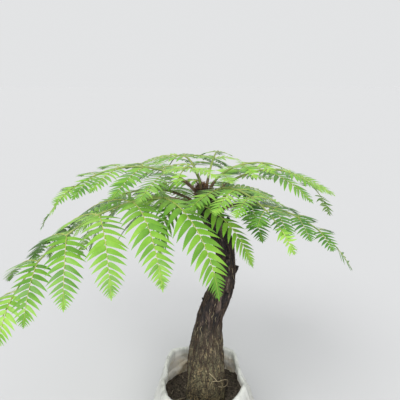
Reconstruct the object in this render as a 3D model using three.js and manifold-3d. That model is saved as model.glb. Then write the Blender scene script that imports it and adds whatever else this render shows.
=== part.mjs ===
// Tree fern growing in a white woven sack. Millimetres, +Z up.
// The origin is at the middle of the sack's flat underside, and -Y is the front.
// Azimuths are degrees from +X towards +Y, and elevations are degrees above level.
import * as THREE from 'three';
import Module from 'manifold-3d';

const wasm = await Module();
wasm.setup();

const RAD = Math.PI / 180;
const GAP = 0.35; // between solids that touch on the real plant

// Trunk: height, axis x, axis y and radius, from its cut foot in the soil to the crown
const TRUNK_ROWS = [
  [160, 8, 0, 77.5],
  [344, 8, 0, 70.5],
  [456, 10, 1, 57],
  [550, 18, 6, 47.5],
  [636, 44, 14, 49],
  [720, 73, 20, 38.5],
  [801, 81, 20, 31.5],
  [900, 57, 12, 35],
  [1000, 13, 2, 37],
  [1075, -12, 0, 20],
  [1090, -15, 0, 8],
];
const TRUNK_RINGS = 29;
const TRUNK_SIDES = 16;
// Lengthwise swellings of the root mantle: how many round, share of the radius,
// turn in radians per millimetre of height, and start angle
const TRUNK_RIBS = [
  [3, 0.045, 0.011, 0],
  [5, 0.032, -0.007, 1.3],
  [8, 0.018, 0.005, 2.1],
];

// Old stipe stubs: they climb the upper trunk on a golden-angle spiral, longer
// towards the crown, and the second one is a broken shoulder
const STUBS = { count: 13, from: 628, to: 940, crowding: 0.9, azimuth: 176, turn: 137.5, scatter: 14 };
const STUB = { length: 46, young: 0.75, shoulder: 1.15, radius: 9.5, taper: 0.6, scatter: 0.2 };
const STUB_ROOT = { lift: 52, curl: 22, depth: 0.55, below: 8, swell: 1.15, sides: 5 };

// Sack: radius and height of the outer wall, then of the folded hem and the inner wall
const SACK_OUTER = [
  [150, 0],
  [170, 12],
  [188, 52],
  [200, 108],
  [204, 160],
  [199, 212],
  [188, 252],
  [184, 284],
  [188, 310],
];
const SACK_HEM = [
  [182, 320],
  [169, 320],
  [162, 311],
  [162, 288],
];
const SACK_SIDES = 32;
const SACK_INNER = [
  [178, 246],
  [193, 212],
  [198, 160],
  [194, 108],
  [182, 54],
  [165, 18],
  [148, 6],
];
// Slumped outline of the sack: lobes round it, share of the radius, start angle
const SACK_LOBES = [
  [2, 0.02, 0.6],
  [3, 0.02, 1.9],
  [5, 0.014, 0.3],
  [7, 0.009, 2.4],
];
const SLUMP_HEIGHT = 120; // the lobes grow to their full size by this height
// The mouth is squarer than the body and reaches to the front left: its lobes grow
// between two heights
const HEM_LOBES = [
  [4, 0.09, 3.14],
  [2, 0.04, 3.14],
  [1, 0.045, -3.94],
];
const HEM_GROWTH = { from: 200, to: 288 };
// The hem's top edge, above a height, rises and falls twice round the sack
const HEM_SWAY = { above: 270, height: 7, start: -2.97 };

// Soil: mean height of its surface, its slope towards +X and +Y, and its gap to the wall
const SOIL = { level: 192, slopeX: 0.13, slopeY: -0.07, gap: 0.5, rings: 5, sides: 20 };
// Humps: height, turn in radians per millimetre along X and along Y, and start
const SOIL_HUMPS = [
  [2.5, 0.043, 0.037, -0.4],
  [2.5, 0.043, -0.037, 1.2],
  [2.5, 0.077, -0.077, 0],
];

// Fronds: name, azimuth, bend along the length, lift at the crown, droop along the
// length, length, height in the crown from 0 to 1, turn of the lowest pinnae and
// how far the pinnae sag. The last three are young and rise in the crown's middle.
const FRONDS = [
  ['left_front', 219, -16, 52, 136, 1000, 0.1, 36, 1.22],
  ['right_front', 300, 8, 58, 112, 460, 0.9, 0, 0.9],
  ['right', 338, 8, 40, 100, 540, 0.2, 0, 0.9],
  ['right_back', 22, 8, 54, 118, 680, 0.75, 0, 0.8],
  ['back', 66, 8, 28, 92, 800, 0, 0, 1.15],
  ['back_left', 104, 8, 54, 120, 800, 0.8, 0, 0.8],
  ['left_back', 143, 8, 34, 106, 880, 0.15, 0, 1.1],
  ['left', 180, 8, 64, 128, 660, 0.95, 0, 0.75],
  ['young_right', 342, 20, 90, 128, 360, 1, 0, 1],
  ['young_back', 64, 20, 90, 124, 340, 1, 0, 1],
  ['young_front', 240, 20, 98, 128, 335, 1, 0, 0.8],
].map(([name, azimuth, bend, lift, droop, length, rank, turn, sag]) => (
  { name, azimuth, bend, lift, droop, length, rank, turn, sag }
));
const CROWN = { base: 975, height: 70 };
const STIPE = 0.09; // share of the rachis that is bare
const TIP = 0.82; // share of the rachis where the pointed end blade begins
const PAIRS = { least: 2.4, perMetre: 4.9, most: 7 }; // of pinnae: a longer frond has more
const SPLIT_PAIR = 3.5; // a long frond is two solids, which part between these pairs
const SPLIT_LENGTH = 600; // shorter fronds are one solid
const STEPS = 48; // of the rachis path
const PINNA_STEPS = 16;
// Rachis: radius at its root and tip and how fast it thins, how deep it starts in the
// trunk, how soon it bends and droops, and its faces
const RACHIS = { root: 8, tip: 2.2, taper: 0.8, depth: 0.6, bend: 0.6, droop: 0.7, sides: 5, rings: 12 };
// Pinna: its length is a share of the frond's that swells from the lowest pinnae and
// shrinks towards the tip, its angle from the rachis closes by some degrees, it rises
// with the rachis, and it falls along its length, more when it is longer
const PINNA = {
  share: 0.43, root: 0.72, swell: 2.2, shrink: 1.02, least: 15, spread: 78, closing: 26, curl: 8,
};
const PINNA_ARCH = { rise: 6, follow: 0.5, fall: 32, fallPerMm: 0.096, droop: 0.75 };
const PINNA_SCATTER = { length: 0.05, spread: 4, rise: 4 };
// Pinnule: its full length, how long it is at the costa's root and how that changes
// along the costa, its lean in degrees towards the tip, and its arch
const PINNULE = { full: 27, perMm: 0.15, root: 0.8, swell: 2, narrowing: 3.4, lean: 16, leaning: 24 };
const PINNULE_ARCH = { rise: 0.12, fall: 0.0036 };
const END_BLADE = { share: 0.62, root: 1 };
// Blade: half its thickness along the costa, half the breadth of the rib in the
// notches and how far both thin out, the breadth of a pinnule, the bare stalk, and
// the shares where the pinnules begin on an end blade and stop on all
const BLADE = { ridge: 2.2, rib: 3, thinning: 0.5, step: 26, stalk: 20, endStalk: 0.02, reach: 0.97 };
// A pinnule stays inside this share of the way to the next pinna, less where a long
// frond's two solids part
const FACING = { whole: 0.65, parted: 0.37 };
const END_OVERLAP = 0.02; // the rachis runs this share into the end blade

// Blades of different fronds keep this far apart, measured between points on a grid
const REACH = 16;
const GRID = 8;
const RACHIS_GRID = 10;
const CROWN_CORE = 0.1; // share of each rachis near the crown that leaves are not kept from
const LEAD = 1.5; // the first frond grows this many pairs ahead of the others
// Sag, turn and length that a pinna tries in this order until it has room
const TRIES = [
  [1, 0, 1], [0.8, 0, 1], [1.25, 0, 1], [0.6, 0, 1], [1.5, 0, 1], [1, 14, 1],
  [1, -14, 1], [0.4, 0, 1], [1.8, 0, 1], [1.3, 14, 0.85], [1.3, -14, 0.85], [0.7, 0, 0.75],
  [1.5, 0, 0.75], [1, 20, 0.7], [1, -20, 0.7], [1, 0, 0.6], [0.5, 0, 0.6], [1.6, 0, 0.6],
  [1, 0, 0.45], [0.4, 12, 0.45], [0.4, -12, 0.45],
];
const SEED = 828;
// Which draw of the scatter each thing takes; a pinna's side is added to its own
const SCATTER = { spread: 2, rise: 3, length: 5, stubTurn: 91, stubSize: 92, perFrond: 31 };

const COLOURS = {
  sack: '#d9d9d2',
  soil: '#2e2620',
  trunk: '#3b2f26',
  frond: '#6fbf3a',
  frond_dark: '#3f8f33',
};

// Scatter: a repeatable number from -size to size for two whole numbers
function wobble(a, b, size) {
  const v = Math.sin((a + SEED) * 12.9898 + b * 78.233) * 43758.5453;
  return (2 * (v - Math.floor(v)) - 1) * size;
}

// Smooth curve through rows of height and values, read at a height
function rowsAt(rows, z) {
  const last = rows.length - 1;
  let i = 0;
  while (i < last - 1 && z > rows[i + 1][0]) i += 1;
  const slope = (k, c) => {
    const a = rows[Math.max(k - 1, 0)];
    const b = rows[Math.min(k + 1, last)];
    return (b[c] - a[c]) / (b[0] - a[0]);
  };
  const span = rows[i + 1][0] - rows[i][0];
  const u = Math.min(Math.max((z - rows[i][0]) / span, 0), 1);
  return rows[i].slice(1).map((from, k) => {
    const c = k + 1;
    const to = rows[i + 1][c];
    return (
      (2 * u ** 3 - 3 * u ** 2 + 1) * from
      + (u ** 3 - 2 * u ** 2 + u) * span * slope(i, c)
      + (3 * u ** 2 - 2 * u ** 3) * to
      + (u ** 3 - u ** 2) * span * slope(i + 1, c)
    );
  });
}

function heading(azimuth, elevation) {
  const level = Math.cos(elevation * RAD);
  return new THREE.Vector3(
    Math.cos(azimuth * RAD) * level,
    Math.sin(azimuth * RAD) * level,
    Math.sin(elevation * RAD),
  );
}

// The level direction to the left of an azimuth
function leftOf(azimuth) {
  return new THREE.Vector3(-Math.sin(azimuth * RAD), Math.cos(azimuth * RAD), 0);
}

function point(start, ...moves) {
  const p = start.clone();
  for (const [direction, distance] of moves) p.addScaledVector(direction, distance);
  return p;
}

// Solids from vertices and triangles, and geometry back from solids

function toSolid(vertices, triangles) {
  const vertProperties = new Float32Array(vertices.flatMap((v) => [v.x, v.y, v.z]));
  const triVerts = new Uint32Array(triangles.flat());
  return new wasm.Manifold(new wasm.Mesh({ numProp: 3, vertProperties, triVerts }));
}

function toGeometry(solid) {
  const mesh = solid.getMesh();
  const geometry = new THREE.BufferGeometry();
  geometry.setAttribute('position', new THREE.BufferAttribute(mesh.vertProperties, 3));
  geometry.setIndex(new THREE.BufferAttribute(mesh.triVerts, 1));
  geometry.computeVertexNormals();
  return geometry;
}

// A closed skin over rings that each turn anticlockwise about the way they advance.
// Its fourfold faces are cut along one diagonal, or along the other if crossed.
function loft(rings, crossed = false) {
  const sides = rings[0].length;
  const vertices = rings.flat();
  const triangles = [];
  for (let k = 0; k < rings.length - 1; k += 1) {
    for (let i = 0; i < sides; i += 1) {
      const a = k * sides + i;
      const b = k * sides + ((i + 1) % sides);
      if (crossed) triangles.push([a, b, a + sides], [b, b + sides, a + sides]);
      else triangles.push([a, b, b + sides], [a, b + sides, a + sides]);
    }
  }
  const last = (rings.length - 1) * sides;
  const middle = (ring) => {
    const sum = ring.reduce((total, v) => total.add(v), new THREE.Vector3());
    return sum.divideScalar(sides);
  };
  const foot = vertices.push(middle(rings[0])) - 1;
  const head = vertices.push(middle(rings[rings.length - 1])) - 1;
  for (let i = 0; i < sides; i += 1) {
    const next = (i + 1) % sides;
    triangles.push([foot, next, i], [head, last + i, last + next]);
  }
  return toSolid(vertices, triangles);
}

// A tapering limb along samples of place, azimuth, elevation and radius
function limb(samples, sides) {
  return loft(samples.map(({ place, azimuth, elevation, radius }) => {
    const left = leftOf(azimuth);
    const up = heading(azimuth, elevation).cross(left);
    return Array.from({ length: sides }, (_, i) => {
      const angle = (2 * Math.PI * i) / sides;
      return point(place, [left, radius * Math.cos(angle)], [up, radius * Math.sin(angle)]);
    });
  }));
}

function unite(solids) {
  const all = wasm.Manifold.union(solids);
  const bodies = all.decompose().sort((a, b) => b.volume() - a.volume());
  return bodies[0];
}

// Trunk

function trunkRing(z, sides, grow = 0) {
  const [x, y, radius] = rowsAt(TRUNK_ROWS, z);
  return Array.from({ length: sides }, (_, i) => {
    const angle = (2 * Math.PI * i) / sides;
    const ribs = TRUNK_RIBS.reduce((sum, [count, share, turn, start]) => (
      sum + share * Math.cos(count * angle + turn * z + start)), 1);
    const r = radius * ribs + grow;
    return new THREE.Vector3(x + r * Math.cos(angle), y + r * Math.sin(angle), z);
  });
}

// The bare column of the trunk, grown by some millimetres and begun lower down
function column(grow, lower) {
  const foot = TRUNK_ROWS[0][0];
  const top = TRUNK_ROWS[TRUNK_ROWS.length - 1][0];
  const rings = Array.from({ length: TRUNK_RINGS + 1 }, (_, k) => (
    trunkRing(foot + ((top - foot) * k) / TRUNK_RINGS, TRUNK_SIDES, grow)));
  rings[0].forEach((v) => { v.z -= lower; });
  rings[TRUNK_RINGS].forEach((v) => { v.z += grow; });
  return loft(rings);
}

function stub(k) {
  const share = k / (STUBS.count - 1);
  const z = STUBS.from + (STUBS.to - STUBS.from) * share ** STUBS.crowding;
  const [x, y, radius] = rowsAt(TRUNK_ROWS, z);
  const azimuth = STUBS.azimuth + STUBS.turn * k + wobble(k, SCATTER.stubTurn, STUBS.scatter);
  const size = 1 + wobble(k, SCATTER.stubSize, STUB.scatter);
  const age = k === 1 ? STUB.shoulder : STUB.young + (1 - STUB.young) * share;
  const length = age * STUB.length * size;
  const samples = [0, 0.5, 1].map((s) => ({
    place: point(
      new THREE.Vector3(x, y, z - STUB_ROOT.below),
      [heading(azimuth, 0), STUB_ROOT.depth * radius],
      [heading(azimuth, STUB_ROOT.lift - STUB_ROOT.curl * (1 - s)), length * s],
    ),
    azimuth,
    elevation: STUB_ROOT.lift,
    radius: STUB.radius * size * (STUB_ROOT.swell - STUB.taper * s),
  }));
  return limb(samples, STUB_ROOT.sides);
}

function trunkSolid() {
  const stubs = Array.from({ length: STUBS.count }, (_, k) => stub(k));
  return unite([column(0, 0), ...stubs]);
}

// Sack and soil

function lobed(lobes, angle) {
  return lobes.reduce((sum, [count, share, start]) => sum + share * Math.cos(count * angle + start), 0);
}

function sackRing(radius, z, grow = 0) {
  const slump = Math.min(1, z / SLUMP_HEIGHT);
  const squaring = THREE.MathUtils.clamp((z - HEM_GROWTH.from) / (HEM_GROWTH.to - HEM_GROWTH.from), 0, 1);
  return Array.from({ length: SACK_SIDES }, (_, i) => {
    const angle = (2 * Math.PI * i) / SACK_SIDES;
    const lobes = slump * lobed(SACK_LOBES, angle) + squaring * lobed(HEM_LOBES, angle);
    const sway = z > HEM_SWAY.above ? HEM_SWAY.height * Math.cos(2 * angle + HEM_SWAY.start) : 0;
    const r = radius * (1 + lobes) + grow;
    return new THREE.Vector3(r * Math.cos(angle), r * Math.sin(angle), z + sway);
  });
}

function sackSolid() {
  return loft([...SACK_OUTER, ...SACK_HEM, ...SACK_INNER].map(([r, z]) => sackRing(r, z)));
}

function soilHeight(x, y) {
  const humps = SOIL_HUMPS.map(([height, alongX, alongY, start]) => (
    height * Math.sin(alongX * x + alongY * y + start)));
  return SOIL.level + SOIL.slopeX * x + SOIL.slopeY * y + humps.reduce((sum, h) => sum + h);
}

// The sack's inside up to the hem, cut off at the soil's surface and round the trunk
function soilSolid() {
  const inside = [...SACK_INNER].reverse().concat([SACK_HEM[SACK_HEM.length - 1]]);
  const filling = loft(inside.map(([r, z], k) => sackRing(r, k > 0 ? z : z + GAP, -SOIL.gap)), true);
  const wide = 1.2 * Math.max(...SACK_OUTER.map(([r]) => r));
  const surface = [0, ...Array.from({ length: SOIL.rings }, (_, k) => 1 - k / SOIL.rings)];
  const ground = loft(surface.map((share, k) => Array.from({ length: SOIL.sides }, (_, i) => {
    const angle = (2 * Math.PI * i) / SOIL.sides;
    const reach = k > 0 ? share * wide : wide;
    const x = reach * Math.cos(angle);
    const y = reach * Math.sin(angle);
    return new THREE.Vector3(x, y, k > 0 ? soilHeight(x, y) : 0);
  })));
  return unite([filling.intersect(ground).subtract(column(GAP, GAP))]);
}

// Growth of the fronds

// The rachis as steps of share, place, azimuth and elevation
function rachisPath(frond) {
  const z = CROWN.base + CROWN.height * frond.rank;
  const [x, y, radius] = rowsAt(TRUNK_ROWS, z);
  const place = point(new THREE.Vector3(x, y, z), [heading(frond.azimuth, 0), RACHIS.depth * radius]);
  const path = [];
  for (let k = 0; k <= STEPS; k += 1) {
    const share = k / STEPS;
    const azimuth = frond.azimuth + frond.bend * share ** RACHIS.bend;
    const elevation = frond.lift - frond.droop * share ** RACHIS.droop;
    path.push({ share, place: place.clone(), azimuth, elevation });
    place.addScaledVector(heading(azimuth, elevation), frond.length / STEPS);
  }
  return path;
}

function along(path, share) {
  const last = path.length - 1;
  const u = Math.min(Math.max(share, 0), 1) * last;
  const i = Math.min(Math.floor(u), last - 1);
  const f = u - i;
  const mix = (a, b) => a * (1 - f) + b * f;
  return {
    share,
    place: path[i].place.clone().lerp(path[i + 1].place, f),
    azimuth: mix(path[i].azimuth, path[i + 1].azimuth),
    elevation: mix(path[i].elevation, path[i + 1].elevation),
  };
}

function pairCount(length) {
  return Math.min(PAIRS.most, Math.round(PAIRS.least + (PAIRS.perMetre * length) / 1000));
}

function pairShare(frond, pair) {
  return STIPE + ((TIP - STIPE) * pair) / pairCount(frond.length);
}

function splitShare(frond) {
  return pairShare(frond, SPLIT_PAIR);
}

function pinnaLength(frond, share) {
  const out = (share - STIPE) / (1 - STIPE);
  const size = Math.min(1, PINNA.root + PINNA.swell * out) * (1 - out) ** PINNA.shrink;
  return PINNA.share * frond.length * size + PINNA.least;
}

// A blade is a costa path, its length, the length of its longest pinnules and how
// long they are at its root
function pinna(frond, index, pair, side, [sag, turn, cut]) {
  const share = pairShare(frond, pair);
  const { place, azimuth, elevation } = along(frond.path, share);
  const out = (share - STIPE) / (1 - STIPE);
  const seed = index * SCATTER.perFrond + pair;
  const scatter = (key) => wobble(seed, side + SCATTER[key], PINNA_SCATTER[key]);
  const length = pinnaLength(frond, share) * (1 + scatter('length')) * cut;
  const spread = PINNA.spread - PINNA.closing * out;
  const start = azimuth + side * (spread + scatter('spread')) + frond.turn * (1 - out) ** 3 + turn;
  const follow = PINNA_ARCH.follow * elevation * Math.cos(spread * RAD);
  const rise = PINNA_ARCH.rise + follow + scatter('rise');
  const fall = sag * frond.sag * (PINNA_ARCH.fall + PINNA_ARCH.fallPerMm * length);
  const path = [];
  for (let k = 0; k <= PINNA_STEPS; k += 1) {
    const s = k / PINNA_STEPS;
    const turned = start - side * PINNA.curl * s;
    const arched = rise - fall * s ** PINNA_ARCH.droop;
    path.push({ share: s, place: place.clone(), azimuth: turned, elevation: arched });
    place.addScaledVector(heading(turned, arched), length / PINNA_STEPS);
  }
  const full = PINNULE.full + PINNULE.perMm * length;
  return { pair, side, share, path, length, full, root: PINNULE.root };
}

function endBlade(frond) {
  const path = Array.from({ length: PINNA_STEPS + 1 }, (_, k) => {
    const s = k / PINNA_STEPS;
    return { ...along(frond.path, TIP + (1 - TIP) * s), share: s };
  });
  const full = END_BLADE.share * pinnaLength(frond, TIP);
  const length = (1 - TIP) * frond.length;
  return { pair: -1, side: 0, share: TIP, path, length, full, root: END_BLADE.root };
}

// How long the pinnules are at a share of the costa
function pinnuleLength(blade, s) {
  const swelling = Math.min(1, blade.root + PINNULE.swell * s);
  return blade.full * swelling * (1 - s ** PINNULE.narrowing);
}

// A point on a pinnule, some millimetres out from the costa
function pinnulePoint(blade, s, side, out) {
  const { place, azimuth, elevation } = along(blade.path, s);
  const lean = (PINNULE.lean + PINNULE.leaning * s) * RAD;
  const p = point(
    place,
    [leftOf(azimuth), side * out * Math.cos(lean)],
    [heading(azimuth, elevation), out * Math.sin(lean)],
  );
  p.z += PINNULE_ARCH.rise * out - PINNULE_ARCH.fall * out ** 2;
  return p;
}

function gridPoints(blade) {
  const points = [];
  const rows = Math.max(2, Math.ceil(blade.length / GRID));
  for (let k = 0; k <= rows; k += 1) {
    const s = k / rows;
    const width = pinnuleLength(blade, s);
    const columns = Math.max(1, Math.ceil(width / GRID));
    for (const side of [-1, 1]) {
      for (let j = side > 0 ? 1 : 0; j <= columns; j += 1) {
        points.push(pinnulePoint(blade, s, side, (width * j) / columns));
      }
    }
  }
  return points;
}

// What is taken up so far, kept in cells so that only near points are compared
class Taken {
  constructor() {
    this.cells = new Map();
  }

  static cell(p) {
    return [p.x, p.y, p.z].map((v) => Math.floor(v / REACH));
  }

  add(points, owner) {
    for (const p of points) {
      const key = Taken.cell(p).join();
      if (!this.cells.has(key)) this.cells.set(key, []);
      this.cells.get(key).push({ p, owner });
    }
  }

  meets(points, owner) {
    const steps = [-1, 0, 1];
    return points.some((p) => {
      const [x, y, z] = Taken.cell(p);
      return steps.some((i) => steps.some((j) => steps.some((k) => (
        (this.cells.get([x + i, y + j, z + k].join()) ?? []).some((other) => (
          other.owner !== owner && other.p.distanceToSquared(p) < REACH * REACH))))));
    });
  }
}

function growCrown() {
  const taken = new Taken();
  FRONDS.forEach((frond, index) => {
    frond.path = rachisPath(frond);
    frond.blades = [endBlade(frond)];
    const count = Math.floor(frond.length / RACHIS_GRID);
    const shares = Array.from({ length: count + 1 }, (_, k) => k / count);
    const outer = shares.filter((share) => share >= CROWN_CORE);
    taken.add(outer.map((share) => along(frond.path, share).place), index);
    taken.add(gridPoints(frond.blades[0]), index);
  });
  const turns = FRONDS.flatMap((frond, index) => (
    Array.from({ length: pairCount(frond.length) }, (_, pair) => (
      [-1, 1].map((side) => ({ frond, index, pair, side, order: pair + (index && LEAD) })))).flat()));
  turns.sort((a, b) => a.order - b.order || a.index - b.index || a.pair - b.pair || a.side - b.side);
  for (const { frond, index, pair, side } of turns) {
    for (const change of TRIES) {
      const blade = pinna(frond, index, pair, side, change);
      const points = gridPoints(blade);
      if (!taken.meets(points, index)) {
        taken.add(points, index);
        frond.blades.push(blade);
        break;
      }
    }
  }
}

// Solids of the fronds

// A thin blade, thickest along its costa, cut to the rib between its pinnules, which
// are no longer than most
function bladeSolid(blade, most) {
  const stalk = blade.pair < 0 ? BLADE.endStalk : BLADE.stalk / blade.length;
  const toothed = BLADE.reach - stalk;
  const count = Math.max(3, Math.round((blade.length * toothed) / BLADE.step));
  const shares = Array.from({ length: count + 1 }, (_, k) => stalk + (toothed * k) / count);
  const vertices = [];
  const triangles = [];
  const put = (v) => vertices.push(v) - 1;
  const stations = [0, ...shares].map((s) => {
    const { place, azimuth, elevation } = along(blade.path, s);
    const left = leftOf(azimuth);
    const up = heading(azimuth, elevation).cross(left);
    const ridge = BLADE.ridge * (1 - BLADE.thinning * s);
    const rib = BLADE.rib * (1 - BLADE.thinning * s);
    return {
      share: s,
      top: put(point(place, [up, ridge])),
      under: put(point(place, [up, -ridge])),
      edge: { 1: put(point(place, [left, rib])), '-1': put(point(place, [left, -rib])) },
    };
  });
  // A face of the left upper skin and its like on the other skins. A corner that is a
  // whole station lies on the spine, over or under it.
  const skin = (side, ...corners) => {
    for (const over of [true, false]) {
      const [a, b, c] = corners.map((corner) => {
        if (corner.top === undefined) return corner;
        return over ? corner.top : corner.under;
      });
      triangles.push(over === side > 0 ? [a, b, c] : [a, c, b]);
    }
  };
  stations.slice(0, -1).forEach((near, k) => {
    const far = stations[k + 1];
    for (const side of [-1, 1]) {
      if (k === 0) {
        skin(side, near, far, far.edge[side]);
        skin(side, near, far.edge[side], near.edge[side]);
        continue;
      }
      const s = (near.share + far.share) / 2;
      const tip = put(pinnulePoint(blade, s, side, Math.min(pinnuleLength(blade, s), most)));
      skin(side, near, far, tip);
      skin(side, far, far.edge[side], tip);
      skin(side, near, tip, near.edge[side]);
    }
  });
  const first = stations[0];
  const end = stations[stations.length - 1];
  triangles.push([first.top, first.edge[1], first.under], [first.top, first.under, first.edge[-1]]);
  const apex = put(along(blade.path, 1).place);
  for (const side of [-1, 1]) skin(side, end, apex, end.edge[side]);
  return toSolid(vertices, triangles);
}

function rachisSolid(frond, from, to) {
  const rings = Math.max(3, Math.round(RACHIS.rings * (to - from)));
  return limb(Array.from({ length: rings + 1 }, (_, k) => {
    const share = from + ((to - from) * k) / rings;
    const taper = Math.max(0, 1 - share / TIP) ** RACHIS.taper;
    return { ...along(frond.path, share), radius: RACHIS.tip + (RACHIS.root - RACHIS.tip) * taper };
  }), RACHIS.sides);
}

// One solid of a frond: the part of its rachis between two shares and what grows there
function frondPart(frond, from, to) {
  const blades = frond.blades.filter((blade) => blade.share >= from && blade.share < to);
  const step = (TIP - STIPE) / pairCount(frond.length);
  const solids = blades.map((blade) => {
    const parted = frond.length > SPLIT_LENGTH && Math.abs(blade.share - splitShare(frond)) < step;
    const most = (parted ? FACING.parted : FACING.whole) * step * frond.length;
    return bladeSolid(blade, blade.pair < 0 ? Infinity : most);
  });
  const space = from > 0 ? GAP / frond.length : 0;
  const rachis = rachisSolid(frond, from + space, Math.min(to, TIP + END_OVERLAP));
  return unite([rachis, ...solids]).subtract(column(GAP, GAP));
}

// The plant

const plant = new THREE.Group();

function material(color, roughness) {
  return new THREE.MeshStandardMaterial({ color, roughness, metalness: 0 });
}

function addNode(name, solid, finish) {
  const mesh = new THREE.Mesh(toGeometry(solid), finish);
  mesh.name = name;
  plant.add(mesh);
}

growCrown();
addNode('sack', sackSolid(), material(COLOURS.sack, 0.6));
addNode('soil', soilSolid(), material(COLOURS.soil, 0.95));
addNode('trunk', trunkSolid(), material(COLOURS.trunk, 0.95));
const green = material(COLOURS.frond, 0.5);
const dark = material(COLOURS.frond_dark, 0.4);
for (const frond of FRONDS) {
  const finish = frond.name === 'right' || frond.name === 'back' ? dark : green;
  if (frond.length > SPLIT_LENGTH) {
    addNode(`frond_${frond.name}_base`, frondPart(frond, 0, splitShare(frond)), finish);
    addNode(`frond_${frond.name}_tip`, frondPart(frond, splitShare(frond), 1), finish);
  } else {
    addNode(`frond_${frond.name}`, frondPart(frond, 0, 1), finish);
  }
}

export default plant;
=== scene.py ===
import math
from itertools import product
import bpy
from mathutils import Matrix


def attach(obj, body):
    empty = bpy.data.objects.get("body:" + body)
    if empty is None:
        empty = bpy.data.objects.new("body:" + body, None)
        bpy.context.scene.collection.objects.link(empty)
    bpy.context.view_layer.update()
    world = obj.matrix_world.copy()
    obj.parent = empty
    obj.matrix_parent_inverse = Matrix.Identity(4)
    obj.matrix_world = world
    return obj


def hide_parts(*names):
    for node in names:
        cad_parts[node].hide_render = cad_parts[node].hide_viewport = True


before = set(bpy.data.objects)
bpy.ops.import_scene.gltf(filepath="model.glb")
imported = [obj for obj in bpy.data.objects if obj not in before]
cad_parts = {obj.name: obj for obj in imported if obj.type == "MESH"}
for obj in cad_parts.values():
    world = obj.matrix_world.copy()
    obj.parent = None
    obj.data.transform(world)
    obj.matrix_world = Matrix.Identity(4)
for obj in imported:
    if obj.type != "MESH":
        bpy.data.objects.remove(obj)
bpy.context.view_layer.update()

# Tree fern in a white woven sack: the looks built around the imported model, in its frame.
# Growth is worked out in millimetres by the rule of the part's source, and MM turns it
# into metres. -Y is the front. Azimuths are degrees from +X towards +Y, and elevations
# are degrees above level.

from types import SimpleNamespace as Values

import bpy
import numpy as np

MM = 0.001
RAD = math.pi / 180
UP = np.array([0.0, 0.0, 1.0])
WHITE = (1, 1, 1)
# Multipliers that turn numbers into even random shares
HASH = np.array([12.9898, 78.233, 37.719])
HASH_SIZE = 43758.5453
HASH_TURN = 4.137
# Seeds of the random draws
SEEDS = Values(roots=7, scales=11, rootlets=5, soil=3)
# Radius to which a tube's ends are drawn
TUBE_POINT = 0.02

# Trunk: height, axis x, axis y and radius
TRUNK_ROWS = [
    (160, 8, 0, 77.5),
    (344, 8, 0, 70.5),
    (456, 10, 1, 57),
    (550, 18, 6, 47.5),
    (636, 44, 14, 49),
    (720, 73, 20, 38.5),
    (801, 81, 20, 31.5),
    (900, 57, 12, 35),
    (1000, 13, 2, 37),
    (1075, -12, 0, 20),
    (1090, -15, 0, 8),
]
# Lengthwise swellings: count, share of the radius, turn per millimetre, start angle
TRUNK_RIBS = [(3, 0.045, 0.011, 0), (5, 0.032, -0.007, 1.3), (8, 0.018, 0.005, 2.1)]
# Its mesh, and the length at the tip over which its relief fades
TRUNK_MESH = Values(rings=400, sides=170, smooth_top=60)

# Root mantle: the radius that its relief is worked out at, the turn of its strands per
# millimetre, its gullies and how far the whole is sunk
BARK = Values(radius=58, turn=0.0007, gully=9, gully_from=0.6, sunk=0.6)
# Layers of relief: kind, height, stretch across and upwards, size and draw number
BARK_LAYERS = [
    ("soft", 3.2, 1, 0.45, 26, 1),
    ("ridged", 1.9, 1, 0.14, 10, 2),
    ("ridged", 1.0, 1, 0.2, 4.5, 3),
    ("ridged", 1.1, 1, 0.6, 5.5, 5),
    ("soft", 0.6, 1, 0.7, 2.6, 4),
]
BARK_GULLIES = [("ridged", 1, 1, 0.26, 19, 6)]
# Waves down the trunk: size, length in millimetres and phase
BARK_WAVES = [(0.16, 61, 0), (0.1, 23, 2)]
STRAND_WAVES = [(0.11, 37, 1), (0.06, 15, 2.3)]
STRAND_SWELLS = [(1.4, 11, 1.7)]
# Heights in metres between which the mantle's colour turns from nearly black above, which is
# painted shade under the crown, to brown below, and the moss on the brown part, which grows where two
# noises together are this high
BARK_SHADE_HEIGHTS = (0.57, 0.38)
MOSS_AMONG = (0.98, 1.2)
MOSS_COLOUR = (0.135, 0.124, 0.068)

# Old stipes: heights of the lowest and the highest, and the turn from one to the next
STUBS = Values(count=13, low=628, high=940, crowding=0.9, azimuth=176, turn=137.5, scatter=14)
# Their length, the lowest one's share of it, and the second one's
STUB = Values(length=46, low=0.75, shoulder=1.15, radius=9.5, taper=0.6, scatter=0.2)
# How they leave the trunk: elevation, curl, and where in the trunk they begin
STUB_ROOT = Values(lift=52, curl=22, depth=0.55, below=8, swell=1.15)
STUB_MESH = Values(rings=12, sides=14)
STUB_RIDGES = ("ridged", 1.5, 1, 0.3, 6)
STUB_GRAIN = ("soft", 0.8, 1, 1, 2.2, 12)
STUB_ENDS = [("soft", 4, 1, 1, 4, 5)]
# Shares of its length between which a stub turns ragged
STUB_RAGGED = (0.75, 1)

# Roots on the trunk: lengths, the least and the greatest height of their tops, the lowest
# of their feet, and each one's path and shape
ROOTS = Values(count=300, lengths=(60, 240), low=300, room=0.4, high=1010, foot=225,
               radii=(0.8, 1.9), lift=1.0)
STRAND = Values(step=9, least=6, turn=0.0011, on_bark=0.5, tuck=3.2, taper=0.45, sides=5)
PALE_ROOTS = Values(every=5, below=800, turn=1, length=0.14, radius=0.8, lift=2.4)
# Pale fibres on the trunk's front: azimuth and height at the top and at the foot
FRONT_FIBRES = [
    (258, 650, 266, 622), (262, 626, 272, 584), (248, 628, 254, 606), (284, 596, 288, 574),
    (244, 590, 256, 562), (236, 548, 250, 512), (292, 520, 296, 476), (270, 500, 272, 462),
    (300, 470, 304, 420), (256, 470, 252, 425),
]
# Their sway in degrees and their shape
FIBRE = Values(rings=9, sway=2, swaying=9, lift=1.2, tuck=2, radius=0.9, taper=0.5, sides=5)
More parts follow.
